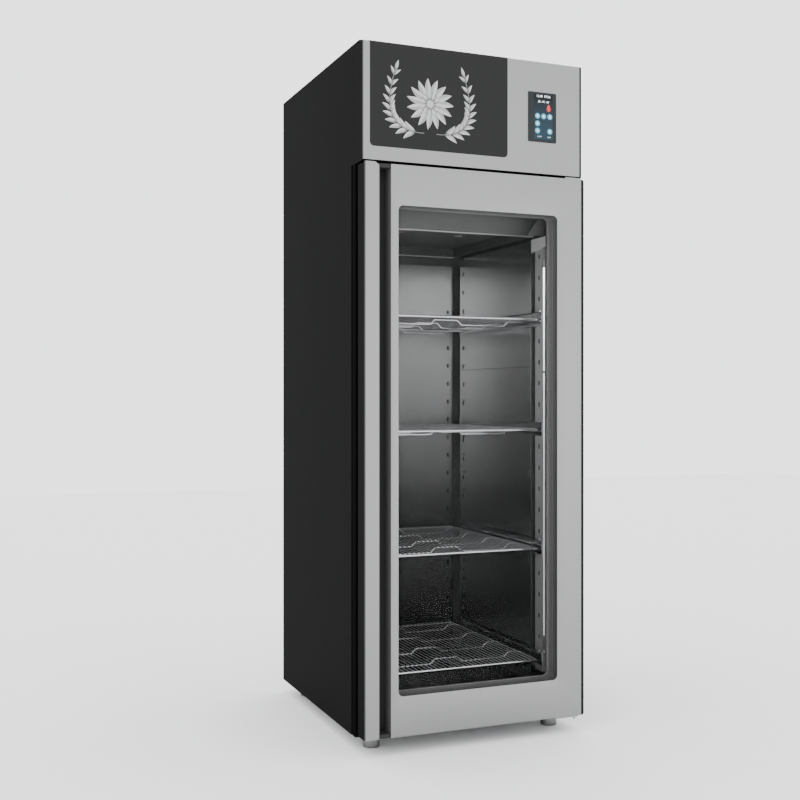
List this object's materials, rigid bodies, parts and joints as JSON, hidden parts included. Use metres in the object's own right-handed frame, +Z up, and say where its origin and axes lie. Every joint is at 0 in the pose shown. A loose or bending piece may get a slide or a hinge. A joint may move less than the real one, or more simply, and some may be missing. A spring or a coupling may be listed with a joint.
{
  "type": "dry aging cabinet",
  "caption": "Upright dry aging cabinet with a glass door, wire shelves on side racks, light strips, a ceiling evaporator, and a cooling unit behind a lifting header.",
  "frame": {"origin": "on the floor, at the middle of the cabinet's width and depth", "axes": "+X to the right for someone facing the door, +Y from the door to the back, +Z up"},
  "size_m": [0.73, 0.824, 2.09],
  "materials": {
    "satin_steel": "fine grain, satin",
    "dark_steel": "dark grey powder coat, semi-matt",
    "galvanised_sheet": "dull zinc coat",
    "polished_steel": "bright annealed",
    "chromed_wire": "bright",
    "pin_steel": "ground",
    "clear_glass": "clear",
    "spacer_aluminium": "satin anodised",
    "door_rubber": "soft, matt black",
    "black_plastic": "moulded, fine texture",
    "display_face": "gloss, dark",
    "art_print": "printed, satin",
    "wall_foam": "rigid foam",
    "light_diffuser": "opal white",
    "fin_aluminium": "mill finish",
    "black_enamel": "semi-gloss black enamel",
    "copper_tube": "drawn copper"
  },
  "bodies": {
    "cabinet": {"back_panel": "galvanised_sheet", "base_panel": "galvanised_sheet", "cable_gland": "black_plastic", "compressor": "black_enamel", "compressor_mounts": "door_rubber", "condenser_coil": "fin_aluminium", "condenser_fan_motor": "fin_aluminium", "condenser_shroud": "black_enamel", "control_box": "black_plastic", "duct_panels": "polished_steel", "evaporator_coil": "fin_aluminium", "evaporator_cover": "polished_steel", "evaporator_fan_guard": "black_plastic", "evaporator_fan_motor": "fin_aluminium", "fasteners": "pin_steel", "filter_drier": "copper_tube", "front_frame": "dark_steel", "header_hinge_pin": "pin_steel", "header_sides": "dark_steel", "hinge_brackets": "galvanised_sheet", "hinge_pins": "pin_steel", "inner_liner": "polished_steel", "insulation_slabs": "wall_foam", "led_diffusers": "light_diffuser", "led_profiles": "spacer_aluminium", "machine_deck": "galvanised_sheet", "rack_posts": "polished_steel", "rear_duct_panel": "polished_steel", "refrigerant_pipes": "copper_tube", "roof_panel": "dark_steel", "shelf_guides": "polished_steel", "side_panels": "dark_steel"},
    "door": {"door_front_skin": "satin_steel", "door_frame": "dark_steel", "window_reveal": "satin_steel", "door_rear_panel": "dark_steel", "door_inner_frame": "dark_steel", "glass_panes": "clear_glass", "glass_spacer": "spacer_aluminium", "door_gasket": "door_rubber", "handle_strip": "satin_steel", "handle_channel": "dark_steel", "handle_end_caps": "black_plastic", "door_edge_trim": "dark_steel", "hinge_bushes": "black_plastic"},
    "header_flap": {"header_panel": "satin_steel", "header_edge_trim": "dark_steel", "art_panel": "art_print", "display_housing": "black_plastic", "display_glass": "display_face"},
    "evaporator_fan_body": {"evaporator_fan": "black_plastic"},
    "condenser_fan_body": {"condenser_fan": "black_plastic"},
    "foot_front_left_body": {"foot_front_left": "polished_steel"},
    "foot_front_right_body": {"foot_front_right": "polished_steel"},
    "foot_rear_left_body": {"foot_rear_left": "polished_steel"},
    "foot_rear_right_body": {"foot_rear_right": "polished_steel"},
    "shelf_1_body": {"shelf_1": "chromed_wire"},
    "shelf_2_body": {"shelf_2": "chromed_wire"},
    "shelf_3_body": {"shelf_3": "chromed_wire"},
    "shelf_4_body": {"shelf_4": "chromed_wire"}
  },
  "joints": [
    {"name": "door_hinge", "type": "hinge", "parent": "cabinet", "child": "door", "pos_m": [0.337, -0.3823, 0], "axis": [0, 0, 1], "range_deg": [0, 115]},
    {"name": "header_hinge", "type": "hinge", "parent": "cabinet", "child": "header_flap", "pos_m": [0, -0.361, 2.078], "axis": [-1, 0, 0], "range_deg": [0, 70]},
    {"name": "evaporator_fan_spin", "type": "hinge", "parent": "cabinet", "child": "evaporator_fan_body", "pos_m": [-0.15, -0.067, 1.6], "axis": [0, 0, 1], "continuous": true},
    {"name": "condenser_fan_spin", "type": "hinge", "parent": "cabinet", "child": "condenser_fan_body", "pos_m": [-0.195, -0.18, 1.854], "axis": [0, 1, 0], "continuous": true},
    {"name": "shelf_1_slide", "type": "slide", "parent": "cabinet", "child": "shelf_1_body", "axis": [0, -1, 0], "range_m": [0, 0.02]},
    {"name": "shelf_2_slide", "type": "slide", "parent": "cabinet", "child": "shelf_2_body", "axis": [0, -1, 0], "range_m": [0, 0.02]},
    {"name": "shelf_3_slide", "type": "slide", "parent": "cabinet", "child": "shelf_3_body", "axis": [0, -1, 0], "range_m": [0, 0.02]},
    {"name": "shelf_4_slide", "type": "slide", "parent": "cabinet", "child": "shelf_4_body", "axis": [0, -1, 0], "range_m": [0, 0.02]},
    {"name": "foot_front_left_turn", "type": "hinge", "parent": "cabinet", "child": "foot_front_left_body", "pos_m": [-0.302, -0.3012, 0], "axis": [0, 0, 1], "continuous": true},
    {"name": "foot_front_right_turn", "type": "hinge", "parent": "cabinet", "child": "foot_front_right_body", "pos_m": [0.302, -0.3012, 0], "axis": [0, 0, 1], "continuous": true},
    {"name": "foot_rear_left_turn", "type": "hinge", "parent": "cabinet", "child": "foot_rear_left_body", "pos_m": [-0.302, 0.322, 0], "axis": [0, 0, 1], "continuous": true},
    {"name": "foot_rear_right_turn", "type": "hinge", "parent": "cabinet", "child": "foot_rear_right_body", "pos_m": [0.302, 0.322, 0], "axis": [0, 0, 1], "continuous": true}
  ]
}
